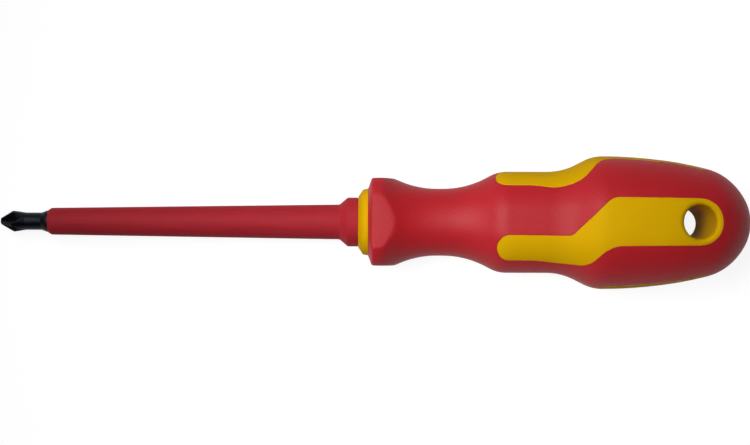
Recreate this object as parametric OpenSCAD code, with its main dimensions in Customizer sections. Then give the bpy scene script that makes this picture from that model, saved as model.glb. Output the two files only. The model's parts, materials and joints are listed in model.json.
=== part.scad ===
// Insulated screwdriver with a fixed cross tip and a two-colour handle.
// The tool's own axis is X: the tip's end is at x = 0 and the handle points to +X.
// laid() puts the tool as it lies on a table, with the table at z = 0.

/* [Blade] */
// Diameter of the steel bar
bar_d = 6; // [5.4:0.1:6.6]
// Length from the tip's end to the nose ring of the handle
blade_reach = 100; // [80:1:150]
// Diameter of the flat at the tip's end
tip_end_d = 1.7; // [1.3:0.1:2]
// Angle between the tip's cone and the axis
tip_angle = 31.5; // [29:0.5:34]
// Diameter of the neck behind the tip
neck_d = 4.85; // [4.3:0.05:5]
// Distance from the tip's end to the start of the neck
neck_from = 7; // [6.4:0.1:7.6]
// Distance from the tip's end to the end of the neck
neck_to = 11.4; // [10:0.1:11.6]
// Length of the cone between the neck and the bar
shoulder_len = 1.45; // [1:0.05:1.5]
// Distance of a flute's floor from the axis at the tip's end
flute_start = 0.5; // [0.4:0.05:0.7]
// Angle between a flute's floor and the axis
flute_rise = 6; // [4:0.5:8]
// Distance from the tip's end to where a flute's floor turns up
flute_run = 4.2; // [3.9:0.1:4.6]
// Angle between the floor's end and the axis
flute_out = 38; // [33:1:45]
// Angle between the two faces of a flute
flute_angle = 92; // [88:1:96]
// Turn of the four tip wings about the axis
tip_roll = 22; // [0:1:45]

/* [Anchor in the handle] */
// Length of the bar inside the handle
anchor_len = 72; // [64:1:76]
// Distance from the nose ring to the start of the swaged wings
wing_from = 46; // [40:1:50]
// Length of the swaged wings
wing_len = 15; // [10:0.5:18]
// Width across the swaged wings
wing_span = 9.4; // [8:0.1:11]
// Thickness of the swaged wings
wing_t = 2.6; // [2:0.1:3.4]
// Length of the slope at each end of a wing
wing_slope = 2.5; // [1.5:0.1:4]

/* [Insulation sleeve] */
// Length of bare steel at the tip
bare_len = 13.4; // [13.2:0.1:18]
// Diameter at the front of the sleeve
sleeve_front_d = 7.5; // [7.2:0.1:8.5]
// Diameter at the foot of the flare
sleeve_back_d = 9.75; // [9.2:0.05:10.4]
// Length of the cone at the front end
sleeve_nose_len = 0.9; // [0.6:0.1:2]
// Wall at the front end of that cone
sleeve_lip = 0.25; // [0.1:0.05:0.4]
// Diameter of the collar
collar_d = 13.7; // [12:0.1:15]
// Length of the collar's cylinder
collar_len = 2.95; // [2:0.05:5]
// Length of the flare in front of the collar
collar_flare = 2.3; // [1.5:0.1:4]
// Diameter of the tail inside the handle
tail_d = 9.4; // [8.8:0.1:9.8]
// Length of the tail inside the handle
tail_len = 27; // [24:1:34]
// Number of holding grooves round the tail
groove_count = 3; // [2:1:3]
// Depth of a holding groove
groove_depth = 0.7; // [0.4:0.1:0.9]
// Width of a holding groove
groove_w = 2.4; // [1.5:0.1:3]

/* [Handle] */
// Length of the yellow nose ring
ring_len = 2.7; // [2:0.1:4]
// Diameter of the nose ring
ring_d = 18.7; // [17.6:0.1:19.4]
// Diameter at the start of the ring's front cone
ring_nose_d = 14.2; // [13.8:0.1:15.4]
// Diameter at the end of the ring's front cone
ring_front_d = 18.1; // [16.8:0.1:18.4]
// Length of the ring's front cone
ring_cone = 1.25; // [0.8:0.05:1.6]
// Edge rounding of the ring's front cone
ring_round = 0.6; // [0.3:0.1:0.8]
// Diameter over the round corners of the nose
nose_d = 28.6; // [27.8:0.1:30]
// Distance across the flats of the nose
nose_flats = 24.4; // [23.6:0.1:25.4]
// Lean of the nose's front face, along the axis
nose_lean = 1.05; // [0.7:0.05:2]
// Length of the cylinder over the nose corners
nose_len = 3.1; // [2.6:0.1:4]
// Edge rounding at the nose's front
nose_edge_round = 0.7; // [0.4:0.1:0.9]
// Slope behind the nose
nose_slope = 32.8; // [31:0.1:36]
// Share of that slope taken by the nose's round edge
nose_share = 0.14; // [0.05:0.01:0.18]
// Diameter of the waist
waist_d = 18.85; // [18:0.05:19.6]
// Distance from the nose ring to the foot of the slope behind the waist
waist_to = 30.3; // [29:0.1:34]
// Slope between the waist and the middle
flare_slope = 29.3; // [27:0.1:32]
// Share of that slope taken by the hollow curve
flare_share = 0.73; // [0.55:0.01:0.8]
// Diameter of the middle
middle_d = 28.3; // [27.2:0.1:29.6]
// Length of the middle between the two slopes
middle_len = 18; // [16:0.1:22]
// Slope between the middle and the thick end
step_slope = 27.2; // [25:0.1:31]
// Share of that slope taken by the hollow curve
step_share = 0.45; // [0.35:0.01:0.55]
// Part of that slope left straight
step_straight = 0.28; // [0.1:0.01:0.35]
// Diameter of the thick end
thick_d = 37.2; // [35.5:0.1:38.5]
// Radius of the long curve over the thick end
thick_round = 117.3; // [110:0.1:140]
// Slope where the end dome starts
dome_slope = 14; // [12.5:0.1:15]
// Slope where the end dome's side meets its cap
cap_slope = 56; // [50:0.5:60]
// Radius of the dome's side
dome_round = 17.5; // [16.5:0.1:18.5]
// Thickness of the soft grip
grip_t = 2.2; // [1.8:0.1:2.4]

/* [Windows] */
// Distance from the nose ring to the front end of a window
lobe_from = 37.9; // [37.4:0.1:40]
// Distance from the axis to the lobe's near edge
lobe_near = 3.6; // [3:0.05:4.2]
// Distance from the axis to the lobe's near edge, at its back end
lobe_near_back = 3.9; // [3:0.05:4.4]
// Distance from the axis to the lobe's far edge, at its front end
lobe_far = 10.55; // [10.2:0.05:10.9]
// Distance from the nose ring to where the far edge starts to spread
lobe_bend = 47.8; // [46:0.1:50]
// Distance from the axis to the lobe's far edge, at its back end
lobe_far_back = 12.1; // [11.4:0.05:12.4]
// Edge rounding of the lobe
lobe_round = 3.2; // [1:0.1:3.2]
// Distance from the nose ring to where the near edge turns to the band
turn_near = 58; // [57:0.1:59.4]
// Distance from the nose ring to where the far edge turns to the band
turn_far = 62.65; // [61.4:0.05:63.8]
// Half width of the band
band_half = 6.6; // [6:0.05:7]
// Half width of the band at the hanging hole
band_end_half = 6.35; // [5.8:0.05:6.8]
// Edge rounding of the outer turns
turn_round = 5; // [2:0.1:5.5]
// Edge rounding of the far edge's turn into the band
turn_round_far = 8; // [3:0.1:8.5]
// Edge rounding of the inner turn
turn_round_near = 2.5; // [1:0.1:3]

/* [Hanging hole] */
// Diameter of the hole
hole_d = 9.3; // [8:0.1:10]
// Distance from the nose ring to the hole's axis
hole_at = 92.65; // [90.6:0.05:93]

/* [Hidden] */

$fn = 96;
// Largest step of a rounding, in degrees
arc_step = 7.5;
// Part of a slope that its two roundings may use
slope_use = 0.96;
// Straight piece left between two roundings that meet
arc_gap = 0.2;
// Radius of the small flat on the handle's pole
pole_flat = 0.5;
// Length by which cutters stand out of what they cut
over = 5;
// Height above the axis where the window pads start, inside the core
pad_from = 2;
// Rounding where a lobe's far edge starts to spread
lobe_bend_round = 40;
window_turns = [0, 90, 180, 270];

bar_r = bar_d / 2;
neck_r = neck_d / 2;
tip_end_r = tip_end_d / 2;
tip_len = (bar_r - tip_end_r) / tan(tip_angle);
collar_r = collar_d / 2;
tail_r = tail_d / 2;
ring_r = ring_d / 2;
ring_front_r = ring_front_d / 2;
nose_r = nose_d / 2;
nose_apothem = nose_flats / 2;
waist_r = waist_d / 2;
middle_r = middle_d / 2;
thick_r = thick_d / 2;

bar_end = blade_reach + anchor_len;
bar_end_chamfer = bar_d / 12;
sleeve_end = blade_reach + tail_len;
collar_from = blade_reach - collar_len;
groove_pitch = tail_len / (groove_count + 1);
grip_from = blade_reach + ring_len;

// Points of the handle's outline, as [distance along the axis, radius, rounding]
nose_drop = nose_r - waist_r;
nose_bend = nose_drop / sin(nose_slope) / tan(nose_slope / 2);
nose_edge = [grip_from + nose_lean, nose_r, nose_edge_round];
nose_back = [nose_edge[0] + nose_len, nose_r, nose_share * nose_bend];
waist_front = [
    nose_back[0] + nose_drop / tan(nose_slope),
    waist_r,
    (slope_use - nose_share) * nose_bend
];

flare_rise = middle_r - waist_r;
flare_bend = slope_use * flare_rise / sin(flare_slope) / tan(flare_slope / 2);
waist_back = [blade_reach + waist_to, waist_r, flare_share * flare_bend];
middle_front = [
    waist_back[0] + flare_rise / tan(flare_slope),
    middle_r,
    (1 - flare_share) * flare_bend
];

step_rise = thick_r - middle_r;
step_bend = step_rise / sin(step_slope) / tan(step_slope / 2);
middle_back = [middle_front[0] + middle_len, middle_r, step_share * step_bend];
thick_share = 1 - step_share - step_straight;
thick_front = [
    middle_back[0] + step_rise / tan(step_slope),
    thick_r,
    thick_share * step_bend
];

// The long curve starts a little behind the step's last rounding
thick_from = thick_front[0] + thick_front[2] * tan(step_slope / 2) + arc_gap;
thick_back = [thick_from + thick_round * tan(dome_slope / 2), thick_r, thick_round];
dome_turn = cap_slope - dome_slope;
dome_run = thick_round * tan(dome_slope / 2) + dome_round * tan(dome_turn / 2) + arc_gap;
dome_corner = [
    thick_back[0] + dome_run * cos(dome_slope),
    thick_r - dome_run * sin(dome_slope),
    dome_round
];
// The cap is an arc that ends square to the axis, at a small flat on the pole
side_end_r = dome_corner[1] - (dome_round * tan(dome_turn / 2) + arc_gap) * sin(cap_slope);
cap_turn = 90 - cap_slope;
cap_round = (side_end_r - pole_flat) / cos(cap_slope);
cap_corner = [
    dome_corner[0] + (dome_corner[1] - pole_flat - cap_round * tan(cap_turn / 2)) / tan(cap_slope),
    pole_flat + cap_round * tan(cap_turn / 2),
    cap_round
];
handle_end = cap_corner[0];

handle_corners = [
    waist_front, waist_back, middle_front, middle_back,
    thick_front, thick_back, dome_corner, cap_corner
];

// The same outline, one grip thickness further in
core_corners = inset_chain(concat([nose_back], handle_corners, [[handle_end, 0, 0]]), grip_t);
core_waist = core_corners[0];
core_front = [
    core_waist[0] - (ring_r - core_waist[1]) / tan(nose_slope),
    ring_r,
    0
];
core_bend = slope_use * (ring_r - core_waist[1]) / sin(nose_slope) / tan(nose_slope / 2);

// Tilt at which the thick end and a point of [distance, radius] both touch the table
function tilt_on(p) =
    let (run = thick_from - p[0], drop = p[1] + thick_round - thick_r)
    asin(thick_round / norm([run, drop])) - atan2(drop, run);

rest_points = [
    [tip_len, bar_r],
    [bare_len + sleeve_nose_len, sleeve_front_d / 2],
    [grip_from + nose_lean / 2, nose_apothem]
];
rest_tilt = min([for (p = rest_points) tilt_on(p)]);
rest_lift = thick_round - thick_from * sin(rest_tilt)
    - (thick_round - thick_r) * cos(rest_tilt);
front_x = -tip_end_r * sin(rest_tilt);
back_x = (handle_end - cap_round) * cos(rest_tilt) + cap_round;
rest_shift = -(front_x + back_x) / 2;

// Outline functions
function unit(v) = v / norm(v);
function flat(p) = [p[0], p[1]];
function turned_by(v, a) = [v[0] * cos(a) - v[1] * sin(a), v[0] * sin(a) + v[1] * cos(a)];
function side(a, v, b) = sign(cross(flat(v) - flat(a), flat(b) - flat(v)));

// Points of the rounding at v, between its neighbours a and b
function bend(a, v, b) =
    let (
        to_a = unit(flat(a) - flat(v)),
        to_b = unit(flat(b) - flat(v)),
        half = acos(to_a * to_b) / 2,
        centre = flat(v) + unit(to_a + to_b) * v[2] / sin(half),
        arm = flat(v) + to_a * v[2] / tan(half) - centre,
        turn = 180 - 2 * half,
        steps = ceil(turn / arc_step)
    )
    [for (k = [0:steps]) centre + turned_by(arm, side(a, v, b) * turn * k / steps)];

// Closed outline through corner points, each with its own rounding
function rounded(c) =
    let (n = len(c))
    [
        for (i = [0:n - 1])
            each c[i][2] > 0
                ? bend(c[(i + n - 1) % n], c[i], c[(i + 1) % n])
                : [flat(c[i])]
    ];

// The inner corners of an open chain, moved inwards by t, with their roundings to match
function inset_chain(c, t) =
    [
        for (i = [1:len(c) - 2])
            let (
                along_in = unit(flat(c[i]) - flat(c[i - 1])),
                along_out = unit(flat(c[i + 1]) - flat(c[i])),
                out_a = [-along_in[1], along_in[0]],
                out_b = [-along_out[1], along_out[0]],
                moved = flat(c[i]) - t * (out_a + out_b) / (1 + out_a * out_b)
            )
            [moved[0], moved[1], c[i][2] + t * side(c[i - 1], c[i], c[i + 1])]
    ];

// Solid turned about the X axis from an outline of [distance, radius] points
module turned(points) {
    rotate([0, 90, 0])
        rotate_extrude()
            polygon([for (p = points) [p[1], p[0]]]);
}

// Lays the tool on its thick end and its tip, centred over the origin
module laid() {
    translate([rest_shift, 0, rest_lift])
        rotate([0, -rest_tilt, 0])
            children();
}

// Steel bar
module bar_body() {
    turned([
        [0, 0],
        [0, tip_end_r],
        [tip_len, bar_r],
        [neck_from, neck_r],
        [neck_to, neck_r],
        [neck_to + shoulder_len, bar_r],
        [bar_end - bar_end_chamfer, bar_r],
        [bar_end, bar_r - bar_end_chamfer],
        [bar_end, 0]
    ]);
}

// Flattened wings that keep the bar from turning in the handle
module swaged_wings() {
    start = blade_reach + wing_from;
    half = wing_span / 2;
    outline = [
        [start, 0],
        [start + wing_slope, half],
        [start + wing_len - wing_slope, half],
        [start + wing_len, 0],
        [start + wing_len - wing_slope, -half],
        [start + wing_slope, -half]
    ];
    translate([0, 0, -wing_t / 2])
        linear_extrude(wing_t)
            polygon(outline);
}

// V-shaped wedge over a floor that passes through [x, z] and rises at the given angle
module flute_wedge(through, rise) {
    reach = bar_d + over;
    half_w = reach * tan(flute_angle / 2);
    translate([through[0], 0, through[1]])
        rotate([0, -rise, 0])
            rotate([90, 0, 90])
                translate([0, 0, -neck_to])
                    linear_extrude(2 * neck_to)
                        polygon([[0, 0], [half_w, reach], [-half_w, reach]]);
}

// One flute of the cross tip: its floor rises slowly, then runs out to the neck
module flute() {
    turn_up = [flute_run, flute_start + flute_run * tan(flute_rise)];
    intersection() {
        flute_wedge([0, flute_start], flute_rise);
        flute_wedge(turn_up, flute_out);
    }
}

module blade_body() {
    difference() {
        union() {
            bar_body();
            swaged_wings();
        }
        for (a = window_turns)
            rotate([tip_roll + 45 + a, 0, 0])
                flute();
    }
}

// Moulded sleeve as a full solid, before the bar's bore
module sleeve_body() {
    grooves = [
        for (i = [1:groove_count])
            let (at = blade_reach + i * groove_pitch)
            each [
                [at - groove_w / 2, tail_r],
                [at - groove_w / 2 + groove_depth, tail_r - groove_depth],
                [at + groove_w / 2 - groove_depth, tail_r - groove_depth],
                [at + groove_w / 2, tail_r]
            ]
    ];
    turned(concat(
        [
            [bare_len, 0],
            [bare_len, bar_r + sleeve_lip],
            [bare_len + sleeve_nose_len, sleeve_front_d / 2],
            [collar_from - collar_flare, sleeve_back_d / 2],
            [collar_from, collar_r],
            [blade_reach, collar_r],
            [blade_reach, tail_r]
        ],
        grooves,
        [[sleeve_end, tail_r], [sleeve_end, 0]]
    ));
}

// Whole handle, without the nose flats
module handle_body() {
    turned(rounded(concat(
        [[grip_from, 0, 0], [grip_from, ring_r, 0], nose_edge, nose_back],
        handle_corners,
        [[handle_end, 0, 0]]
    )));
}

// Core under the grip, without the window pads
module core_body() {
    turned(rounded(concat(
        [
            [blade_reach, 0, 0],
            [blade_reach, ring_nose_d / 2, 0],
            [blade_reach + ring_cone, ring_front_r, ring_round],
            [grip_from, ring_r, 0],
            core_front,
            [core_waist[0], core_waist[1], core_bend]
        ],
        [for (i = [1:len(core_corners) - 1]) core_corners[i]],
        [[core_corners[len(core_corners) - 1][0], 0, 0]]
    )));
}

// Prisms through the four windows
module window_prisms() {
    outline = rounded([
        [lobe_from, -lobe_far, lobe_round],
        [lobe_bend, -lobe_far, lobe_bend_round],
        [turn_far, -lobe_far_back, turn_round],
        [turn_far + lobe_far_back - band_half, -band_half, turn_round_far],
        [hole_at + band_end_half, -band_end_half, slope_use * band_end_half],
        [hole_at + band_end_half, band_end_half, slope_use * band_end_half],
        [turn_near + lobe_near_back + band_half, band_half, turn_round],
        [turn_near, -lobe_near_back, turn_round_near],
        [lobe_from, -lobe_near, lobe_round]
    ]);
    for (a = window_turns)
        rotate([a, 0, 0])
            translate([blade_reach, 0, pad_from])
                linear_extrude(thick_r + over)
                    polygon(outline);
}

module nose_flat_cutters() {
    for (a = window_turns)
        rotate([a, 0, 0])
            translate([grip_from - over, -nose_r, nose_apothem])
                cube([waist_front[0] - grip_from + over, nose_d, over]);
}

// Sub-parts
module blade() {
    color("dimgray")
        laid()
            blade_body();
}

module blade_insulation() {
    color("firebrick")
        laid()
            difference() {
                sleeve_body();
                translate([bare_len - over, 0, 0])
                    rotate([0, 90, 0])
                        cylinder(r = bar_r, h = sleeve_end - bare_len + 2 * over);
            }
}

module handle_core() {
    color("gold")
        laid()
            difference() {
                union() {
                    core_body();
                    intersection() {
                        handle_body();
                        window_prisms();
                    }
                }
                sleeve_body();
                bar_body();
                swaged_wings();
                translate([blade_reach + hole_at, 0, -thick_d])
                    cylinder(d = hole_d, h = 2 * thick_d);
            }
}

module soft_grip() {
    color("crimson")
        laid()
            difference() {
                handle_body();
                core_body();
                window_prisms();
                nose_flat_cutters();
            }
}

blade();
blade_insulation();
handle_core();
soft_grip();
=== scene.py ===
"""Insulated screwdriver lying on a pale floor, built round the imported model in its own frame."""
import json
import math

import bmesh
import bpy
import numpy as np
from mathutils import Matrix, Vector


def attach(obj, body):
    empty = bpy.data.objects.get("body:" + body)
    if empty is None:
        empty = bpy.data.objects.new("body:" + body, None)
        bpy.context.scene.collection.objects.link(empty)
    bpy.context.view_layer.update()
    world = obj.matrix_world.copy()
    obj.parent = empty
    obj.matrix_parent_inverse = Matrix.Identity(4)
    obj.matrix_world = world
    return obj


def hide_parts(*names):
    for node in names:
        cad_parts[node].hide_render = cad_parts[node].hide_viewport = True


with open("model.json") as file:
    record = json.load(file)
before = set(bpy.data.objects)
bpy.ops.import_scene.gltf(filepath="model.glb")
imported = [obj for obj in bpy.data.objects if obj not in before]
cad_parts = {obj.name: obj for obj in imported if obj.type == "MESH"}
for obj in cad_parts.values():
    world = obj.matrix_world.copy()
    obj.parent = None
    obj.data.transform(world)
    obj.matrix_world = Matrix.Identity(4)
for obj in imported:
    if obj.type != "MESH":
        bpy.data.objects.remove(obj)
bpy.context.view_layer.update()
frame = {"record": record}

# Tool frame: distance along the axis from the tip's end, across, and up through the hanging hole
MM = 0.001
mounts = {mount["name"]: mount for mount in frame["record"]["mounts"]}
TIP = np.array(mounts["drive_tip"]["pos_m"])
ALONG = -np.array(mounts["drive_tip"]["axis"])
UP = np.array(mounts["hanging_hole"]["axis"])
ACROSS = np.cross(UP, ALONG)

# Sizes in millimetres and angles, as in the part's source
BAR_R = 3.0
TIP_END_R = 0.85
TIP_CONE = math.radians(31.5)
NECK_R = 2.425
NECK_FROM = 7.0
NECK_TO = 11.4
SHOULDER_LEN = 1.45
FLUTE_START = 0.5
FLUTE_RISE = math.radians(6)
FLUTE_RUN = 4.2
FLUTE_OUT = math.radians(38)
FLUTE_HALF = math.radians(46)
TIP_ROLL = math.radians(22)

BARE_LEN = 13.4
SLEEVE_NOSE_LEN = 0.9
SLEEVE_LIP_R = 3.25
SLEEVE_FRONT_R = 3.75
SLEEVE_BACK_R = 4.875
COLLAR_R = 6.85
COLLAR_LEN = 2.95
COLLAR_FLARE = 2.3
TAIL_R = 4.7

BLADE_REACH = 100.0
BAR_END = BLADE_REACH + 72
SLEEVE_END = BLADE_REACH + 27
RING_R = 9.35
RING_NOSE_R = 7.1
RING_FRONT_R = 9.05
RING_CONE = 1.25
RING_ROUND = 0.6
GRIP_FROM = BLADE_REACH + 2.7
NOSE_R = 14.3
NOSE_APOTHEM = 12.2
NOSE_LEAN = 1.05
NOSE_LEN = 3.1
NOSE_SLOPE = math.radians(32.8)
NOSE_SHARE = 0.14
WAIST_R = 9.425
WAIST_TO = BLADE_REACH + 30.3
FLARE_SLOPE = math.radians(29.3)
FLARE_SHARE = 0.73
MIDDLE_R = 14.15
MIDDLE_LEN = 18.0
STEP_SLOPE = math.radians(27.2)
STEP_SHARE = 0.45
STEP_STRAIGHT = 0.28
THICK_R = 18.6
THICK_ROUND = 117.3
DOME_SLOPE = math.radians(14)
DOME_ROUND = 17.5
CAP_SLOPE = math.radians(56)
POLE_FLAT = 0.5
ARC_GAP = 0.2
SLOPE_USE = 0.96
GRIP_T = 2.2

LOBE_FROM = BLADE_REACH + 37.9
LOBE_NEAR = 3.6
LOBE_NEAR_BACK = 3.9
LOBE_FAR = 10.55
LOBE_BEND = BLADE_REACH + 47.8
LOBE_BEND_ROUND = 40.0
LOBE_FAR_BACK = 12.1
TURN_NEAR = BLADE_REACH + 58
TURN_FAR = BLADE_REACH + 62.65
BAND_HALF = 6.6
BAND_END_HALF = 6.35
TURN_ROUND = 5.0
TURN_ROUND_FAR = 8.0
TURN_ROUND_NEAR = 2.5
HOLE_R = 4.65
HOLE_AT = BLADE_REACH + 92.65
WINDOW_TO = HOLE_AT + BAND_END_HALF

# Roundings in millimetres that only the looks need
TIP_END_ROUND = 0.3
TIP_EDGE_ROUND = 0.25
NECK_ROUND = 2.0
SHOULDER_ROUND = 0.7
BAR_END_ROUND = 0.5
FLUTE_EDGE = 0.12
FLUTE_TURN = 0.3
LIP_ROUND = 0.15
SLEEVE_FRONT_ROUND = 0.4
SLEEVE_ROUND = 0.8
COLLAR_ROUND = 0.4
NOSE_EDGE_ROUND = 0.9
FLAT_EDGE = 0.3
HOLE_RIM = 1.5
PARTING_ROUND = 0.16
PARTING_GAP = 0.02
# The window's ends are half circles, less a hair, because its sides aren't quite parallel
LOBE_ROUND = 0.98 * (LOBE_FAR - LOBE_NEAR) / 2
BAND_ROUND = 0.998 * BAND_END_HALF

# The handle's section: shares of its radius, then millimetres from corners of the side outline to where
# the section is round, flat-sided or half so
SECTION_ROUND = 0.032
SECTION_BLEND = 0.02
ROUND_BEFORE_FLARE = 2.3
FLAT_AFTER_FLARE = 3.3
FLAT_BEFORE_STEP = 0.7
HALF_AFTER_STEP = 11.0
FLAT_BEFORE_HOLE = 2.6
HALF_FLAT = 0.5

# Walls, and how far the handle is drawn inside the part's own outline, so that it never stands out of it
WALL_T = 2.0
SKIN = 0.05

# Steps of the grids in millimetres, and of an arc in degrees
ROW_STEP = 0.6
TIP_STEP = 0.12
SLEEVE_STEP = 2.0
EDGE_STEP = 0.5
ARC_STEP = 2.5

# Counts of the grids
ARC_LEAST = 3
ROUND_ROWS = 22
RIM_ROWS = 11
HOLE_ROWS = 6
STRIP_COLUMNS = 41
PAD_COLUMNS = 31
EYELET_SIDE = 16
EYELET_ARC = 61
TURN_COLUMNS = 160
TIP_COLUMNS = 240
# Rows just outside a window's round ends, as shares of a row step
BESIDE_WINDOW = np.array([0.1, 0.2, 0.35, 0.55])
# Power that crowds the eyelet's rows towards the pad's edge
EYELET_CROWDING = 1.6

# Places along a chain are rounded to these decimals of a millimetre, so that equal ones merge
CHAIN_DECIMALS = 4
ROW_DECIMALS = 3
# A row this near to a window's end, in millimetres, lies on it
ON_END = 1e-6
# Rounds after which a turn that is found by repetition no longer changes
TURN_ROUNDS = 8
# Points whose distances are worked out together, which keeps the arrays small
POINTS_AT_ONCE = 4000
# Points nearer than the first are merged and faces thinner than the second dropped, in millimetres
MERGE_WITHIN = 0.003
EMPTY_BELOW = 0.001
# Angles in degrees over which an edge is drawn sharp
CREASE = 35
TIP_CREASE = 28
HANDLE_CREASE = 50


def rounded_chain(corners):
    """Open chain of straight runs with a tangent arc at each inner corner that has a rounding.

    A corner is (distance, radius, rounding). The arc's centre lies on the corner's bisector, at
    rounding / sin(half the corner's angle), and the arc sweeps 180 degrees less that angle.
    """
    points = np.array([corner[:2] for corner in corners], float)
    roundings = [corner[2] for corner in corners[1:-1]]
    pieces = [points[:1]]
    for before, here, after, rounding in zip(points, points[1:], points[2:], roundings):
        to_before = (before - here) / np.linalg.norm(before - here)
        to_after = (after - here) / np.linalg.norm(after - here)
        if rounding == 0:
            pieces.append(here[None])
            continue
        half = math.acos(np.clip(to_before @ to_after, -1, 1)) / 2
        bisector = (to_before + to_after) / np.linalg.norm(to_before + to_after)
        centre = here + bisector * rounding / math.sin(half)
        arm = here + to_before * rounding / math.tan(half) - centre
        sweep = math.pi - 2 * half
        side = np.sign(np.cross(-to_before, to_after))
        turn = side * np.linspace(0, sweep, int(math.degrees(sweep) / ARC_STEP) + ARC_LEAST)
        pieces.append(centre + np.stack([
            arm[0] * np.cos(turn) - arm[1] * np.sin(turn),
            arm[0] * np.sin(turn) + arm[1] * np.cos(turn),
        ], 1))
    pieces.append(points[-1:])
    return np.concatenate(pieces)


def run_length(chain):
    """Length along a chain up to each of its points."""
    return np.concatenate([[0], np.cumsum(np.linalg.norm(np.diff(chain, axis=0), axis=1))])


def walked(chain, step):
    """Points at even steps along a chain, with the chain's own points kept so that edges stay sharp."""
    length = run_length(chain)
    even = np.linspace(0, length[-1], int(length[-1] / step) + 2)
    stations = np.unique(np.round(np.concatenate([even, length]), CHAIN_DECIMALS))
    return np.stack([np.interp(stations, length, chain[:, axis]) for axis in (0, 1)], 1)


def slope_rounding(rise, slope):
    """Rounding of a corner that uses all of a slope's length."""
    return rise / math.sin(slope) / math.tan(slope / 2)


def smooth_min(a, b, width):
    """The lesser of two lengths, with the crossing rounded over about the given width."""
    return (a + b - np.sqrt((a - b) ** 2 + width ** 2)) / 2


def ramp(value, start, end):
    """Smooth step from 0 at start to 1 at end."""
    t = np.clip((value - start) / (end - start), 0, 1)
    return t * t * (3 - 2 * t)


def handle_corners():
    """Corners of the handle's side outline by name: (distance, radius, rounding).

    They are those of the part's source: nose cylinder, slope to the waist, slope to the middle, slope to the
    thick end, one long curve over that, then the dome's side and its cap.
    """
    nose_edge = GRIP_FROM + NOSE_LEAN
    nose_back = nose_edge + NOSE_LEN
    nose_drop = NOSE_R - WAIST_R
    nose_bend = slope_rounding(nose_drop, NOSE_SLOPE)
    waist_front = nose_back + nose_drop / math.tan(NOSE_SLOPE)
    flare_rise = MIDDLE_R - WAIST_R
    flare_bend = SLOPE_USE * slope_rounding(flare_rise, FLARE_SLOPE)
    middle_front = WAIST_TO + flare_rise / math.tan(FLARE_SLOPE)
    middle_back = middle_front + MIDDLE_LEN
    step_rise = THICK_R - MIDDLE_R
    step_bend = slope_rounding(step_rise, STEP_SLOPE)
    thick_front = middle_back + step_rise / math.tan(STEP_SLOPE)
    thick_bend = (1 - STEP_SHARE - STEP_STRAIGHT) * step_bend
    thick_run = THICK_ROUND * math.tan(DOME_SLOPE / 2)
    thick_back = thick_front + thick_bend * math.tan(STEP_SLOPE / 2) + ARC_GAP + thick_run
    dome_reach = DOME_ROUND * math.tan((CAP_SLOPE - DOME_SLOPE) / 2)
    dome_run = thick_run + dome_reach + ARC_GAP
    dome_at = thick_back + dome_run * math.cos(DOME_SLOPE)
    dome_r = THICK_R - dome_run * math.sin(DOME_SLOPE)
    side_end_r = dome_r - (dome_reach + ARC_GAP) * math.sin(CAP_SLOPE)
    cap_round = (side_end_r - POLE_FLAT) / math.cos(CAP_SLOPE)
    cap_r = POLE_FLAT + cap_round * math.tan(math.pi / 4 - CAP_SLOPE / 2)
    pole_at = dome_at + (dome_r - cap_r) / math.tan(CAP_SLOPE)
    return {
        "ring_back": (GRIP_FROM, RING_R, 0),
        "nose_edge": (nose_edge, NOSE_R, NOSE_EDGE_ROUND),
        "nose_back": (nose_back, NOSE_R, NOSE_SHARE * nose_bend),
        "waist_front": (waist_front, WAIST_R, (SLOPE_USE - NOSE_SHARE) * nose_bend),
        "waist_back": (WAIST_TO, WAIST_R, FLARE_SHARE * flare_bend),
        "middle_front": (middle_front, MIDDLE_R, (1 - FLARE_SHARE) * flare_bend),
        "middle_back": (middle_back, MIDDLE_R, STEP_SHARE * step_bend),
        "thick_front": (thick_front, THICK_R, thick_bend),
        "thick_back": (thick_back, THICK_R, THICK_ROUND),
        "dome": (dome_at, dome_r, DOME_ROUND),
        "cap": (pole_at, cap_r, cap_round),
        "pole": (pole_at, 0, 0),
    }


CORNERS = handle_corners()
STATION = {name: corner[0] for name, corner in CORNERS.items()}
NOSE_MIDDLE = (STATION["nose_edge"] + STATION["nose_back"]) / 2
WAIST_MIDDLE = (STATION["waist_front"] + STATION["waist_back"]) / 2


def handle_outline():
    """Side outline of the handle from the nose ring to the pole, drawn a hair inside the part's own."""
    chain = rounded_chain(list(CORNERS.values()))
    chain[1:, 0] -= SKIN * ramp(chain[1:, 0], STATION["dome"], STATION["pole"])
    chain[:, 1] = np.maximum(chain[:, 1] - SKIN, 0)
    return chain


OUTLINE = handle_outline()
POLE_AT = OUTLINE[-1, 0]

# How far the section is flat-sided, at distances along the axis
FLAT_SIDED = [
    (WAIST_TO - ROUND_BEFORE_FLARE, 0.0),
    (STATION["middle_front"] + FLAT_AFTER_FLARE, 1.0),
    (STATION["middle_back"] - FLAT_BEFORE_STEP, 1.0),
    (STATION["thick_front"], HALF_FLAT),
    (STATION["thick_front"] + HALF_AFTER_STEP, HALF_FLAT),
    (HOLE_AT - FLAT_BEFORE_HOLE, 1.0),
    (WINDOW_TO, 1.0),
    (POLE_AT, 0.0),
]


def eased(u, stations):
    """Value that passes smoothly from station to station: the sum of the steps between them, as ramps."""
    steps = zip(stations, stations[1:])
    return stations[0][1] + sum((end[1] - start[1]) * ramp(u, start[0], end[0]) for start, end in steps)


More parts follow.
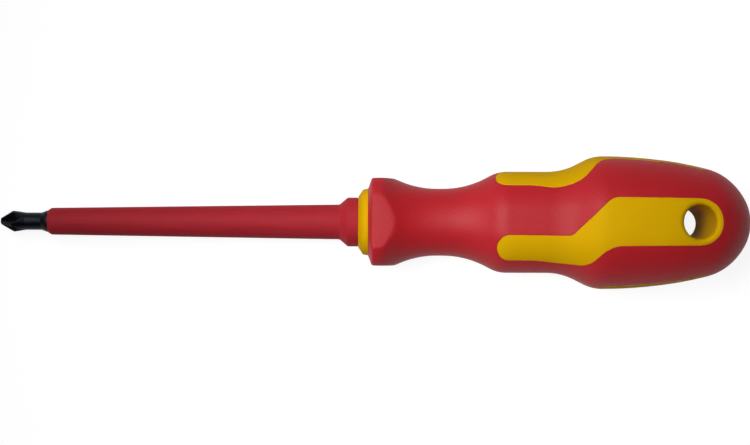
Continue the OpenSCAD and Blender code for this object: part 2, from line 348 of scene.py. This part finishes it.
def handle_radius(u, outline_r, turn):
    """Radius of the handle's outside at a distance along the axis and a turn from straight up.

    From the middle to the dome the section is a circle a little larger than the outline's radius, cut by
    four flats at that radius: the lesser of 1 + round and 1 / cos(turn), each as a share of the radius. In
    front of the waist the radius is cut by the nose flats, apothem / cos(turn), and the nose's rounded front
    edge follows the flats: its rise over the ring is scaled to theirs.
    """
    off_flat = np.mod(turn + math.pi / 4, math.pi / 2) - math.pi / 4
    swell = eased(u, FLAT_SIDED)
    middle = smooth_min(1 + SECTION_ROUND, 1.0, SECTION_BLEND)
    share = smooth_min(1 + SECTION_ROUND, 1 / np.cos(off_flat), SECTION_BLEND) / middle
    round_r = outline_r * (1 + swell * (share - 1))
    flat_r = NOSE_APOTHEM / np.cos(off_flat)
    nose_rise = (smooth_min(NOSE_R, flat_r, FLAT_EDGE) - RING_R) / (NOSE_R - RING_R)
    nose_r = RING_R + (outline_r - RING_R) * nose_rise
    cut_r = np.where(u < NOSE_MIDDLE, nose_r, smooth_min(round_r, flat_r, FLAT_EDGE))
    return np.where(u < STATION["waist_front"], cut_r, round_r)


def outline_at(u):
    """Outline radius behind the nose, where the outline is a function of the distance."""
    return np.interp(u, OUTLINE[:, 0], OUTLINE[:, 1])


def turn_at(u, across):
    """Turn at which the handle's outside stands at a distance across, by repeated asin(across / radius)."""
    base = outline_at(u)
    turn = np.zeros_like(base + across)
    for _ in range(TURN_ROUNDS):
        turn = np.arcsin(np.clip(across / handle_radius(u, base, turn), -1, 1))
    return turn


def window_edges():
    """The two edges of a window seen from above, each as a chain from its front end to its back end.

    The lobe runs beside the axis and spreads a little, turns by 45 degrees into the band on the axis, and
    both ends are half circles, the back one round the hanging hole.
    """
    lobe_mid = -(LOBE_FAR + LOBE_NEAR) / 2
    near = rounded_chain([
        (LOBE_FROM, lobe_mid, 0),
        (LOBE_FROM, -LOBE_NEAR, LOBE_ROUND),
        (TURN_NEAR, -LOBE_NEAR_BACK, TURN_ROUND_NEAR),
        (TURN_NEAR + LOBE_NEAR_BACK + BAND_HALF, BAND_HALF, TURN_ROUND),
        (WINDOW_TO, BAND_END_HALF, BAND_ROUND),
        (WINDOW_TO, 0, 0),
    ])
    far = rounded_chain([
        (LOBE_FROM, lobe_mid, 0),
        (LOBE_FROM, -LOBE_FAR, LOBE_ROUND),
        (LOBE_BEND, -LOBE_FAR, LOBE_BEND_ROUND),
        (TURN_FAR, -LOBE_FAR_BACK, TURN_ROUND),
        (TURN_FAR + LOBE_FAR_BACK - BAND_HALF, -BAND_HALF, TURN_ROUND_FAR),
        (WINDOW_TO, -BAND_END_HALF, BAND_ROUND),
        (WINDOW_TO, 0, 0),
    ])
    return near, far


EDGE_NEAR, EDGE_FAR = window_edges()


def edge_across(edge, u):
    """Distance across of a window's edge at each distance along the axis, held past its ends."""
    return np.interp(u, edge[:, 0], edge[:, 1])


def edge_distance(u, across):
    """Distance from points, seen from above, to the nearest point of a window's two edges."""
    loop = walked(np.concatenate([EDGE_NEAR, EDGE_FAR[::-1]]), EDGE_STEP)
    start = loop[:-1]
    along = loop[1:] - start
    square = (along ** 2).sum(1)
    points = np.stack([u.ravel(), across.ravel()], 1)
    nearest = []
    for first in range(0, len(points), POINTS_AT_ONCE):
        offset = points[first:first + POINTS_AT_ONCE, None] - start
        share = np.clip((offset * along).sum(2) / square, 0, 1)
        nearest.append(np.sqrt(((offset - share[..., None] * along) ** 2).sum(2).min(1)))
    return np.concatenate(nearest).reshape(u.shape)


def edge_drop(distance, rounding):
    """How far a quarter-round edge lies below the surface, at a distance from the edge."""
    inside = np.clip(rounding - distance, 0, rounding)
    return rounding - np.sqrt(rounding ** 2 - inside ** 2)


def grid_faces(rows, columns, first=0):
    """Quads of a grid whose points are stored row by row."""
    index = first + np.arange(rows * columns).reshape(rows, columns)
    return np.stack([index[:-1, :-1], index[1:, :-1], index[1:, 1:], index[:-1, 1:]], 2).reshape(-1, 4)


def turned_points(u, radius, turn):
    """Points at a distance along the axis, a radius and a turn from straight up."""
    return np.stack(np.broadcast_arrays(u, radius * np.sin(turn), radius * np.cos(turn)), -1)


def lathe(chain, columns=TURN_COLUMNS, radius=None):
    """Surface swept by a side outline all the way round: row = outline point, column = turn.

    radius(u, r, turn), where given, replaces the outline's radius r.
    """
    turn = np.linspace(0, 2 * math.pi, columns + 1)[None]
    u, r = chain[:, :1], chain[:, 1:]
    full = r + 0 * turn if radius is None else radius(u, r, turn)
    return turned_points(u, full, turn).reshape(-1, 3), grid_faces(len(chain), columns + 1)


def joined(parts):
    """One list of points and faces from several."""
    points, faces, count = [], [], 0
    for part_points, part_faces in parts:
        points.append(part_points)
        faces.append(part_faces + count)
        count += len(part_points)
    return np.concatenate(points), np.concatenate(faces)


def rolled(points, turn):
    """Points turned about the tool's axis, away from straight up towards across."""
    c, s = math.cos(turn), math.sin(turn)
    x, y, z = points.T
    return np.stack([x, c * y + s * z, c * z - s * y], 1)


def make_piece(name, surface, node, material, crease=CREASE):
    """Mesh piece from tool-frame points in millimetres: merged, without empty faces, and shaded smooth."""
    points, faces = surface
    placed = TIP + MM * (points[:, :1] * ALONG + points[:, 1:2] * ACROSS + points[:, 2:] * UP)
    mesh = bpy.data.meshes.new(name)
    mesh.from_pydata(placed.tolist(), [], faces.tolist())
    work = bmesh.new()
    work.from_mesh(mesh)
    bmesh.ops.remove_doubles(work, verts=work.verts, dist=MERGE_WITHIN * MM)
    bmesh.ops.dissolve_degenerate(work, edges=work.edges, dist=EMPTY_BELOW * MM)
    work.to_mesh(mesh)
    work.free()
    mesh.shade_smooth()
    mesh.set_sharp_from_angle(angle=math.radians(crease))
    piece = bpy.data.objects.new(name, mesh)
    bpy.context.scene.collection.objects.link(piece)
    mesh.materials.append(material)
    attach(piece, "root")
    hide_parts(node)
    return piece


def thicken(piece, thickness):
    """Gives an outer skin a wall on its inside."""
    wall = piece.modifiers.new("wall", "SOLIDIFY")
    wall.thickness = thickness * MM
    wall.offset = -1


# Materials


def linear(hex_colour):
    """Linear colour from an sRGB hex value."""
    channels = [int(hex_colour[i:i + 2], 16) / 255 for i in (1, 3, 5)]
    return [c / 12.92 if c <= 0.04045 else ((c + 0.055) / 1.055) ** 2.4 for c in channels] + [1]


def add_node(tree, kind, inputs=None, **settings):
    """Adds one node: settings are its own values, inputs are numbers or the sockets that feed it."""
    node = tree.nodes.new(kind)
    for name, value in settings.items():
        setattr(node, name, value)
    for name, value in (inputs or {}).items():
        if isinstance(value, bpy.types.NodeSocket):
            tree.links.new(value, node.inputs[name])
        else:
            node.inputs[name].default_value = value
    return node


def new_material(name):
    """Empty node material, its tree and its output node."""
    material = bpy.data.materials.new(name)
    material.use_nodes = True
    tree = material.node_tree
    tree.nodes.clear()
    return material, tree, add_node(tree, "ShaderNodeOutputMaterial")


def per_metre(size_mm):
    """Texture scale for a feature of the given size in millimetres."""
    return 1 / (size_mm * MM)


TOOL_TILT = math.atan2(ALONG[2], ALONG[0])
# Most values of a noise lie between these
NOISE_LOW = 0.3
NOISE_HIGH = 0.7
# Colour sockets of a Mix node by number, because its sockets for other kinds have the same names
MIX_A = 6
MIX_B = 7
MIX_RESULT = 2


def soft_touch_elastomer():
    """Red thermoplastic elastomer, moulded in a finely etched tool: dull, with a broad soft highlight."""
    material, tree, output = new_material("red_elastomer_etched_mould")
    place = add_node(tree, "ShaderNodeTexCoord").outputs["Object"]
    # The pigment is a little uneven over a centimetre or so
    cloud = add_node(tree, "ShaderNodeTexNoise", {
        "Vector": place, "Scale": per_metre(14), "Detail": 3.0, "Roughness": 0.5,
    })
    colour = add_node(tree, "ShaderNodeMix", {
        "Factor": cloud.outputs["Fac"], MIX_A: linear("#B51621"), MIX_B: linear("#BD1B26"),
    }, data_type="RGBA")
    # Etched grain is near 0.2 mm; it is drawn at 0.6 mm so that it shows
    grain = add_node(tree, "ShaderNodeTexNoise", {
        "Vector": place, "Scale": per_metre(0.6), "Detail": 2.0, "Roughness": 0.6,
    })
    dull = add_node(tree, "ShaderNodeMapRange", {
        "Value": grain.outputs["Fac"], "From Min": NOISE_LOW, "From Max": NOISE_HIGH,
        "To Min": 0.52, "To Max": 0.6,
    })
    bump = add_node(tree, "ShaderNodeBump", {
        "Height": grain.outputs["Fac"], "Strength": 1.0, "Distance": 0.1 * MM,
    })
    surface = add_node(tree, "ShaderNodeBsdfPrincipled", {
        "Base Color": colour.outputs[MIX_RESULT], "Roughness": dull.outputs["Result"],
        "Normal": bump.outputs["Normal"], "IOR": 1.48, "Specular IOR Level": 0.36,
    })
    tree.links.new(surface.outputs["BSDF"], output.inputs["Surface"])
    return material


def moulded_polyamide():
    """Red polyamide, moulded round the bar: satin, with faint flow streaks along its length."""
    material, tree, output = new_material("red_polyamide_moulded")
    place = add_node(tree, "ShaderNodeTexCoord").outputs["Object"]
    # Streaks follow the tilted bar; their sizes are in millimetres
    streak_length = 25
    streak_width = 1.2
    along_bar = add_node(tree, "ShaderNodeMapping", {
        "Vector": place, "Rotation": (0, TOOL_TILT, 0), "Scale": (streak_width / streak_length, 1, 1),
    })
    streak = add_node(tree, "ShaderNodeTexNoise", {
        "Vector": along_bar.outputs["Vector"], "Scale": per_metre(streak_width),
        "Detail": 3.0, "Roughness": 0.55,
    })
    colour = add_node(tree, "ShaderNodeMix", {
        "Factor": streak.outputs["Fac"], MIX_A: linear("#A01B25"), MIX_B: linear("#BC2835"),
    }, data_type="RGBA")
    dull = add_node(tree, "ShaderNodeMapRange", {
        "Value": streak.outputs["Fac"], "From Min": NOISE_LOW, "From Max": NOISE_HIGH,
        "To Min": 0.6, "To Max": 0.7,
    })
    bump = add_node(tree, "ShaderNodeBump", {
        "Height": streak.outputs["Fac"], "Strength": 0.3, "Distance": 0.03 * MM,
    })
    surface = add_node(tree, "ShaderNodeBsdfPrincipled", {
        "Base Color": colour.outputs[MIX_RESULT], "Roughness": dull.outputs["Result"],
        "Normal": bump.outputs["Normal"], "IOR": 1.5, "Specular IOR Level": 0.2,
    })
    tree.links.new(surface.outputs["BSDF"], output.inputs["Surface"])
    return material


def hard_polypropylene():
    """Yellow polypropylene, moulded in a smooth tool: satin, with a slight orange peel."""
    material, tree, output = new_material("yellow_polypropylene_moulded")
    place = add_node(tree, "ShaderNodeTexCoord").outputs["Object"]
    # The pigment is a little uneven over a centimetre or so
    cloud = add_node(tree, "ShaderNodeTexNoise", {
        "Vector": place, "Scale": per_metre(9), "Detail": 3.0, "Roughness": 0.55,
    })
    colour = add_node(tree, "ShaderNodeMix", {
        "Factor": cloud.outputs["Fac"], MIX_A: linear("#DBA800"), MIX_B: linear("#E3B202"),
    }, data_type="RGBA")
    # The orange peel's waves are a millimetre or two wide
    peel = add_node(tree, "ShaderNodeTexNoise", {
        "Vector": place, "Scale": per_metre(1.4), "Detail": 2.0, "Roughness": 0.5,
    })
    dull = add_node(tree, "ShaderNodeMapRange", {
        "Value": peel.outputs["Fac"], "From Min": NOISE_LOW, "From Max": NOISE_HIGH,
        "To Min": 0.62, "To Max": 0.7,
    })
    bump = add_node(tree, "ShaderNodeBump", {
        "Height": peel.outputs["Fac"], "Strength": 0.2, "Distance": 0.03 * MM,
    })
    surface = add_node(tree, "ShaderNodeBsdfPrincipled", {
        "Base Color": colour.outputs[MIX_RESULT], "Roughness": dull.outputs["Result"],
        "Normal": bump.outputs["Normal"], "IOR": 1.49, "Specular IOR Level": 0.05,
    })
    tree.links.new(surface.outputs["BSDF"], output.inputs["Surface"])
    return material


def blackened_steel():
    """Tool steel, blasted and blackened in a hot bath: blue-black, dull, slightly mottled."""
    material, tree, output = new_material("tool_steel_blackened")
    place = add_node(tree, "ShaderNodeTexCoord").outputs["Object"]
    # The bath leaves lighter and darker spots of a millimetre or two
    mottle = add_node(tree, "ShaderNodeTexNoise", {
        "Vector": place, "Scale": per_metre(1.6), "Detail": 4.0, "Roughness": 0.6,
    })
    colour = add_node(tree, "ShaderNodeMix", {
        "Factor": mottle.outputs["Fac"], MIX_A: linear("#141519"), MIX_B: linear("#24272C"),
    }, data_type="RGBA")
    # Blasting leaves pits of about 0.1 mm; they are drawn at 0.3 mm so that they show
    pits = add_node(tree, "ShaderNodeTexNoise", {
        "Vector": place, "Scale": per_metre(0.3), "Detail": 2.0, "Roughness": 0.6,
    })
    dull = add_node(tree, "ShaderNodeMapRange", {
        "Value": pits.outputs["Fac"], "From Min": NOISE_LOW, "From Max": NOISE_HIGH,
        "To Min": 0.36, "To Max": 0.52,
    })
    bump = add_node(tree, "ShaderNodeBump", {
        "Height": pits.outputs["Fac"], "Strength": 0.3, "Distance": 0.02 * MM,
    })
    surface = add_node(tree, "ShaderNodeBsdfPrincipled", {
        "Base Color": colour.outputs[MIX_RESULT], "Roughness": dull.outputs["Result"],
        "Normal": bump.outputs["Normal"], "Metallic": 1.0,
    })
    tree.links.new(surface.outputs["BSDF"], output.inputs["Surface"])
    return material


def shown_to(tree):
    """Socket that is 1 for rays that see the white background: straight, mirrored or let through."""
    rays = add_node(tree, "ShaderNodeLightPath").outputs
    mirrored = add_node(tree, "ShaderNodeMath", {
        0: rays["Is Camera Ray"], 1: rays["Is Glossy Ray"],
    }, operation="MAXIMUM")
    any_of_them = add_node(tree, "ShaderNodeMath", {
        0: mirrored.outputs[0], 1: rays["Is Transmission Ray"],
    }, operation="MAXIMUM")
    return any_of_them.outputs[0]


def studio_paper():
    """White seamless paper: seen as white, with the object's soft shadow kept on it."""
    material, tree, output = new_material("white_seamless_paper")
    # What the paper throws back at the tool: pale grey, so that the tool's lower edges stay dark
    paper = add_node(tree, "ShaderNodeBsdfDiffuse", {"Color": linear("#B8B8B8")})
    # What is seen of it: a grey that takes the shadow, and a glow that lifts the grey to white
    shade = add_node(tree, "ShaderNodeBsdfDiffuse", {"Color": linear("#808080")})
    glow = add_node(tree, "ShaderNodeEmission", {"Color": linear("#FFFFFF"), "Strength": 0.9})
    white = add_node(tree, "ShaderNodeAddShader", {0: shade.outputs[0], 1: glow.outputs[0]})
    mixed = add_node(tree, "ShaderNodeMixShader", {
        0: shown_to(tree), 1: paper.outputs[0], 2: white.outputs[0],
    })
    tree.links.new(mixed.outputs[0], output.inputs["Surface"])
    return material


# Blade


def tip_radius(u, r, turn):
    """Radius of the bar with the four flutes of its cross tip.

    A flute is a V whose floor is at start + u * tan(rise) from the axis, and runs out more steeply where
    that is higher. Seen along the axis, its faces stand at floor * sin(half) / sin(half - turn from the
    flute). The edges are slightly rounded.
    """
    slow = FLUTE_START + u * math.tan(FLUTE_RISE)
    quick = FLUTE_START + FLUTE_RUN * math.tan(FLUTE_RISE) + (u - FLUTE_RUN) * math.tan(FLUTE_OUT)
    floor = -smooth_min(-slow, -quick, FLUTE_TURN)
    off_wing = np.mod(turn + TIP_ROLL, math.pi / 2)
    off_flute = np.abs(off_wing - math.pi / 4)
    face = floor * math.sin(FLUTE_HALF) / np.sin(FLUTE_HALF - off_flute)
    return np.where(r > 0, smooth_min(r, face, FLUTE_EDGE), 0)


def blade_surface():
    """Bar from the flat at the tip's end, over the cone, neck and shoulder, to its end in the handle."""
    tip_len = (BAR_R - TIP_END_R) / math.tan(TIP_CONE)
    chain = rounded_chain([
        (0, 0, 0),
        (0, TIP_END_R, TIP_END_ROUND),
        (tip_len, BAR_R, TIP_EDGE_ROUND),
        (NECK_FROM, NECK_R, NECK_ROUND),
        (NECK_TO, NECK_R, SHOULDER_ROUND),
        (NECK_TO + SHOULDER_LEN, BAR_R, SHOULDER_ROUND),
        (BAR_END, BAR_R, BAR_END_ROUND),
        (BAR_END, 0, 0),
    ])
    in_sleeve = chain[:, 0] > BARE_LEN
    bare = walked(chain[~in_sleeve], TIP_STEP)
    return lathe(np.concatenate([bare, chain[in_sleeve]]), TIP_COLUMNS, tip_radius)


# Insulation sleeve


def sleeve_surface():
    """Sleeve from its front cone, along the taper, over flare and collar, to its tail, and back inside."""
    chain = rounded_chain([
        (BARE_LEN, BAR_R, 0),
        (BARE_LEN, SLEEVE_LIP_R, LIP_ROUND),
        (BARE_LEN + SLEEVE_NOSE_LEN, SLEEVE_FRONT_R, SLEEVE_FRONT_ROUND),
        (BLADE_REACH - COLLAR_LEN - COLLAR_FLARE, SLEEVE_BACK_R, SLEEVE_ROUND),
        (BLADE_REACH - COLLAR_LEN, COLLAR_R, SLEEVE_ROUND),
        (BLADE_REACH, COLLAR_R, COLLAR_ROUND),
        (BLADE_REACH, TAIL_R, 0),
        (SLEEVE_END, TAIL_R, 0),
        (SLEEVE_END, BAR_R, 0),
        (BARE_LEN, BAR_R, 0),
    ])
    return lathe(walked(chain, SLEEVE_STEP))


# Handle core


def inset_corners(corners, depth):
    """Inner corners of a chain, moved inwards along the normals of both sides, with roundings to match."""
    points = np.array([corner[:2] for corner in corners])
    along = np.diff(points, axis=0)
    along /= np.linalg.norm(along, axis=1)[:, None]
    outward = np.stack([-along[:, 1], along[:, 0]], 1)
    before, after = outward[:-1], outward[1:]
    moved = points[1:-1] - depth * (before + after) / (1 + (before * after).sum(1))[:, None]
    rounding = np.array([corner[2] for corner in corners[1:-1]]) + depth * np.sign(np.cross(before, after))
    return np.concatenate([moved, rounding[:, None]], 1).tolist()


def core_inside():
    """Nose ring and the body behind it, one grip thickness inside the handle, up to the hanging hole."""
    names = list(CORNERS)
    behind_nose = [CORNERS[name] for name in names[names.index("nose_back"):]]
    waist, *rest = inset_corners(behind_nose, GRIP_T)
    body_end = HOLE_AT - HOLE_R - WALL_T
    chain = rounded_chain([
        (SLEEVE_END, 0, 0),
        (SLEEVE_END, TAIL_R, 0),
        (BLADE_REACH, TAIL_R, 0),
        (BLADE_REACH, RING_NOSE_R, 0),
        (BLADE_REACH + RING_CONE, RING_FRONT_R, RING_ROUND),
        (GRIP_FROM, RING_R, 0),
        (waist[0] - (RING_R - waist[1]) / math.tan(NOSE_SLOPE), RING_R, 0),
        (waist[0], waist[1], SLOPE_USE * slope_rounding(RING_R - waist[1], NOSE_SLOPE)),
        *rest,
        (rest[-1][0], 0, 0),
    ])
    kept = chain[chain[:, 0] < body_end]
    return lathe(np.concatenate([kept, [(body_end, kept[-1, 1]), (body_end, 0)]]))


def clustered(count):
    """Shares from 0 to 1 that crowd towards both ends, as (1 - cos) / 2."""
    return (1 - np.cos(np.linspace(0, math.pi, count))) / 2


def window_rows(back):
    """Distances along the axis through a window, as far as back.

    They are crowded at the round front end, and at the back where that is the window's own round end.
    """
    crowded = 1 - np.cos(np.linspace(0, math.pi / 2, ROUND_ROWS))
    front_end = LOBE_FROM + LOBE_ROUND * crowded
    back_end = np.array([back]) if back < WINDOW_TO else WINDOW_TO - BAND_END_HALF * crowded[::-1]
    between = np.arange(front_end[-1] + ROW_STEP, back_end[0] - ROW_STEP / 2, ROW_STEP)
    return np.concatenate([front_end, between, back_end])


def pad_height(u, across):
    """Height of a window pad over the axis, flush with the handle's outside."""
    turn = turn_at(u, across)
    return handle_radius(u, outline_at(u), turn) * np.cos(turn)


def pad_strip(back):
    """Window pad as a strip: row = distance along the axis, column = share of the way between its edges."""
    u = window_rows(back)[:, None]
    share = clustered(PAD_COLUMNS)[None]
    low = edge_across(EDGE_FAR, u) + PARTING_GAP
    high = edge_across(EDGE_NEAR, u) - PARTING_GAP
    high = np.maximum(high, low)
    across = low + share * (high - low)
    u = u + 0 * across
    points = np.stack([u, across, pad_height(u, across)], 2)
    return points.reshape(-1, 3), grid_faces(*u.shape)


def eyelet(front):
    """End of a window pad round the hanging hole.

    Row = step from the pad's edge in to the hole, column = point of the edge's loop. The rim is a quarter
    round, and the hole's wall runs down to the axis.
    """
    side = np.linspace(front, HOLE_AT, EYELET_SIDE)
    low = edge_across(EDGE_FAR, side) + PARTING_GAP
    high = edge_across(EDGE_NEAR, side) - PARTING_GAP
    half = BAND_END_HALF - PARTING_GAP
    arc = np.linspace(-math.pi / 2, math.pi / 2, EYELET_ARC)[1:-1]
    across = low[0] + clustered(PAD_COLUMNS) * (high[0] - low[0])
    loop = np.concatenate([
        np.stack([side, low], 1),
        np.stack([HOLE_AT + half * np.cos(arc), half * np.sin(arc)], 1),
        np.stack([side[::-1], high[::-1]], 1),
        np.stack([np.full(PAD_COLUMNS - 1, front), across[::-1][1:]], 1),
    ])
    centre = np.array([HOLE_AT, 0])
    outward = loop - centre
    outward /= np.linalg.norm(outward, axis=1)[:, None]
    rim = centre + (HOLE_R + HOLE_RIM) * outward
    share = (np.linspace(0, 1, RIM_ROWS) ** EYELET_CROWDING)[:, None, None]
    flat = loop + share * (rim - loop)
    bend = np.linspace(0, math.pi / 2, RIM_ROWS)[1:, None, None]
    curve = centre + (HOLE_R + HOLE_RIM * (1 - np.sin(bend))) * outward
    plan = np.concatenate([flat, curve])
    height = pad_height(plan[..., 0], plan[..., 1])
    height[len(flat):] -= HOLE_RIM * (1 - np.cos(bend[..., 0]))
    wall = np.repeat(plan[-1:], HOLE_ROWS, 0)
    wall_height = height[-1:] * np.linspace(1, 0, HOLE_ROWS + 1)[1:, None]
    plan = np.concatenate([plan, wall])
    height = np.concatenate([height, wall_height])
    points = np.concatenate([plan, height[..., None]], 2)
    return points.reshape(-1, 3), grid_faces(*height.shape)[:, ::-1]


def core_pads():
    """The four window pads, a quarter turn apart; the two that face up and down hold the hanging hole."""
    eyelet_front = HOLE_AT - BAND_HALF - ROW_STEP
    with_hole = joined([pad_strip(eyelet_front), eyelet(eyelet_front)])
    plain = pad_strip(WINDOW_TO)
    pads = []
    for quarter, (points, faces) in enumerate([with_hole, plain, with_hole, plain]):
        pads.append((rolled(points, quarter * math.pi / 2), faces))
    return joined(pads)


# Soft grip


def grip_rows():
    """Points of the handle's outline for the grip's rows.

    They are the outline's own points at the nose, the rows of the windows, and even steps elsewhere.
    """
    length = run_length(OUTLINE)
    even = np.linspace(0, length[-1], int(length[-1] / ROW_STEP))
    at_nose = length[OUTLINE[:, 0] < STATION["waist_front"]]
    in_windows = np.interp(window_rows(WINDOW_TO), OUTLINE[:, 0], length)
    front_end, back_end = in_windows[0], in_windows[-1]
    beside = ROW_STEP * BESIDE_WINDOW
    outside = even[(even < front_end - ROW_STEP) | (even > back_end + ROW_STEP)]
    stations = np.concatenate([outside, at_nose, front_end - beside, in_windows, back_end + beside])
    stations = np.unique(np.round(stations, ROW_DECIMALS))
    return np.stack([np.interp(stations, length, OUTLINE[:, axis]) for axis in (0, 1)], 1)


def inset_rows(rows):
    """Outline points one wall inside the grip's.

    They are moved along the outline's normal behind the waist, and lie on a plain cylinder in front of it.
    """
    step = np.gradient(rows, axis=0)
    step /= np.linalg.norm(step, axis=1)[:, None]
    normal = np.stack([-step[:, 1], step[:, 0]], 1)
    inner = rows - WALL_T * normal
    inner[-1] = (POLE_AT - WALL_T, 0)
    in_front = rows[:, 0] < WAIST_MIDDLE
    inner[in_front] = np.stack([rows[in_front, 0], np.full(in_front.sum(), WAIST_R - SKIN - WALL_T)], 1)
    return inner


def wall_faces(edge, count):
    """Quads from an edge of the outside down to the same edge of the inside, stored count points later."""
    return np.stack([edge[:-1], edge[1:], edge[1:] + count, edge[:-1] + count], 1)


def grip_surface():
    """Grip as a closed shell: four strips, each from one window's near edge to the next one's far edge.

    Row = point of the handle's outline, column = share of the way across the strip. In front of and behind
    the windows the strips close up to a full ring. The window edges are rounded down, a second grid makes
    the inside, and walls join the two along the windows and at the nose.
    """
    rows = grip_rows()
    u, r = rows[:, :1], rows[:, 1:]
    held = np.clip(u, LOBE_FROM, WINDOW_TO)
    low = turn_at(held, edge_across(EDGE_FAR, held))
    high = np.maximum(turn_at(held, edge_across(EDGE_NEAR, held)), low)
    closed = (u <= LOBE_FROM + ON_END) | (u >= WINDOW_TO - ON_END)
    middle = (low + high) / 2
    low = np.where(closed, middle, low)
    high = np.where(closed, middle, high)
    share = clustered(STRIP_COLUMNS)[None]
    turn = high + share * (low + math.pi / 2 - high)
    radius = handle_radius(u, r, turn)
    near_window = np.minimum(
        edge_distance(u + 0 * turn, radius * np.sin(turn)),
        edge_distance(u + 0 * turn, radius * np.sin(turn - math.pi / 2)),
    )
    outer = turned_points(u, radius - edge_drop(near_window, PARTING_ROUND), turn)
    inset = inset_rows(rows)
    inner = turned_points(inset[:, :1], handle_radius(inset[:, :1], inset[:, 1:], turn), turn)
    count = turn.size
    index = np.arange(count).reshape(turn.shape)
    open_rows = np.flatnonzero(~closed[:, 0])
    window = np.arange(open_rows[0] - 1, open_rows[-1] + 2)
    faces = np.concatenate([
        grid_faces(*turn.shape),
        grid_faces(*turn.shape, first=count)[:, ::-1],
        wall_faces(index[window, 0], count)[:, ::-1],
        wall_faces(index[window, -1], count),
        wall_faces(index[0], count),
    ])
    strip = np.concatenate([outer, inner]).reshape(-1, 3)
    return joined([(rolled(strip, quarter * math.pi / 2), faces) for quarter in range(4)])


make_piece("blade_bar", blade_surface(), "blade", blackened_steel(), TIP_CREASE)
make_piece("sleeve", sleeve_surface(), "blade_insulation", moulded_polyamide())
yellow = hard_polypropylene()
make_piece("core_body", core_inside(), "handle_core", yellow)
thicken(make_piece("core_pads", core_pads(), "handle_core", yellow, HANDLE_CREASE), WALL_T)
make_piece("grip_skin", grip_surface(), "soft_grip", soft_touch_elastomer(), HANDLE_CREASE)

# Stage

# Half the floor's side, in metres
FLOOR_HALF = 3.0
floor_mesh = bpy.data.meshes.new("floor")
floor_corners = [(FLOOR_HALF * x, FLOOR_HALF * y, 0) for x, y in [(-1, -1), (1, -1), (1, 1), (-1, 1)]]
floor_mesh.from_pydata(floor_corners, [], [(0, 1, 2, 3)])
floor = bpy.data.objects.new("floor", floor_mesh)
floor_mesh.materials.append(studio_paper())
bpy.context.scene.collection.objects.link(floor)

# Camera: looks square at the tool's axis, a little from below it in the picture. Its distance and aim are
# in pixels of the picture, one of which is PIXEL_MM wide at the axis
PICTURE_WIDTH = 750
PIXEL_MM = 0.28
CAMERA_AWAY = 1500
AIM_ALONG = 373.8
AIM_DROP = 0.45
CAMERA_ROLL = math.radians(-1.0)
PICTURE_TURN = math.radians(0.15)
SENSOR_MM = 36.0

toward_camera = math.cos(CAMERA_ROLL) * UP + math.sin(CAMERA_ROLL) * ACROSS
picture_up = np.cross(toward_camera, ALONG)
right = math.cos(PICTURE_TURN) * ALONG + math.sin(PICTURE_TURN) * picture_up
picture_up = np.cross(toward_camera, right)
from_tip = AIM_ALONG * ALONG + CAMERA_AWAY * toward_camera - AIM_DROP * picture_up
camera_at = TIP + MM * PIXEL_MM * from_tip
camera_data = bpy.data.cameras.new("camera")
camera_data.sensor_width = SENSOR_MM
camera_data.lens = SENSOR_MM * CAMERA_AWAY / PICTURE_WIDTH
camera = bpy.data.objects.new("camera", camera_data)
camera_axes = np.stack([right, picture_up, toward_camera, camera_at], 1)
camera.matrix_world = Matrix(camera_axes.tolist() + [[0, 0, 0, 1]])
bpy.context.scene.collection.objects.link(camera)
bpy.context.scene.camera = camera

# Light: two soft boxes in a dark room, with white paper under the tool and swept up round it


def soft_box(name, at, aim, width, height, power, spread):
    """Area lamp at a place, turned to a point, its light gathered by a grid to the given spread."""
    data = bpy.data.lights.new(name, "AREA")
    data.shape = "RECTANGLE"
    data.size = width
    data.size_y = height
    data.energy = power
    data.spread = math.radians(spread)
    lamp = bpy.data.objects.new(name, data)
    lamp.location = at
    lamp.rotation_euler = (Vector(aim) - Vector(at)).to_track_quat("-Z", "Y").to_euler()
    bpy.context.scene.collection.objects.link(lamp)


# Both stand on the tip's side of the camera: a broad one towards the top of the picture, and a smaller one
# over the tool, which gives the highlights and reaches into the hole
soft_box(
    "broad", at=(-0.25, 0.25, 0.42), aim=(-0.06, 0, 0.02), width=0.26, height=0.22, power=0.1, spread=50,
)
soft_box(
    "small", at=(-0.18, 0.04, 0.44), aim=(0.032, 0, 0.02), width=0.24, height=0.16, power=0.108, spread=31,
)

# Sine of the angle over the horizon up to which the sweep is white, and at which it ends
SWEEP_WHITE_TO = 0.2
SWEEP_ENDS_AT = 0.4
# Strength of the dark room, and of the white that is seen in place of the sweep
ROOM_LIGHT = 0.03
SWEEP_WHITE = 1.0

world = bpy.data.worlds.new("white_sweep_in_dark_room")
bpy.context.scene.world = world
world.use_nodes = True
sky = world.node_tree
sky.nodes.clear()
room = add_node(sky, "ShaderNodeBackground", {"Color": linear("#FFFFFF"), "Strength": ROOM_LIGHT})
backdrop = add_node(sky, "ShaderNodeBackground", {"Color": linear("#FFFFFF"), "Strength": SWEEP_WHITE})
# The white paper sweeps up round the table; above it the room is dark
way = add_node(sky, "ShaderNodeTexCoord").outputs["Generated"]
height = add_node(sky, "ShaderNodeSeparateXYZ", {"Vector": way}).outputs["Z"]
sweep = add_node(sky, "ShaderNodeMapRange", {
    "Value": height, "From Min": SWEEP_WHITE_TO, "From Max": SWEEP_ENDS_AT, "To Min": 1.0, "To Max": 0.0,
})
shown = add_node(sky, "ShaderNodeMath", {
    0: shown_to(sky), 1: sweep.outputs["Result"],
}, operation="MULTIPLY")
either = add_node(sky, "ShaderNodeMixShader", {
    0: shown.outputs[0], 1: room.outputs[0], 2: backdrop.outputs[0],
})
add_node(sky, "ShaderNodeOutputWorld", {"Surface": either.outputs[0]})

bpy.context.scene.view_settings.view_transform = "Standard"
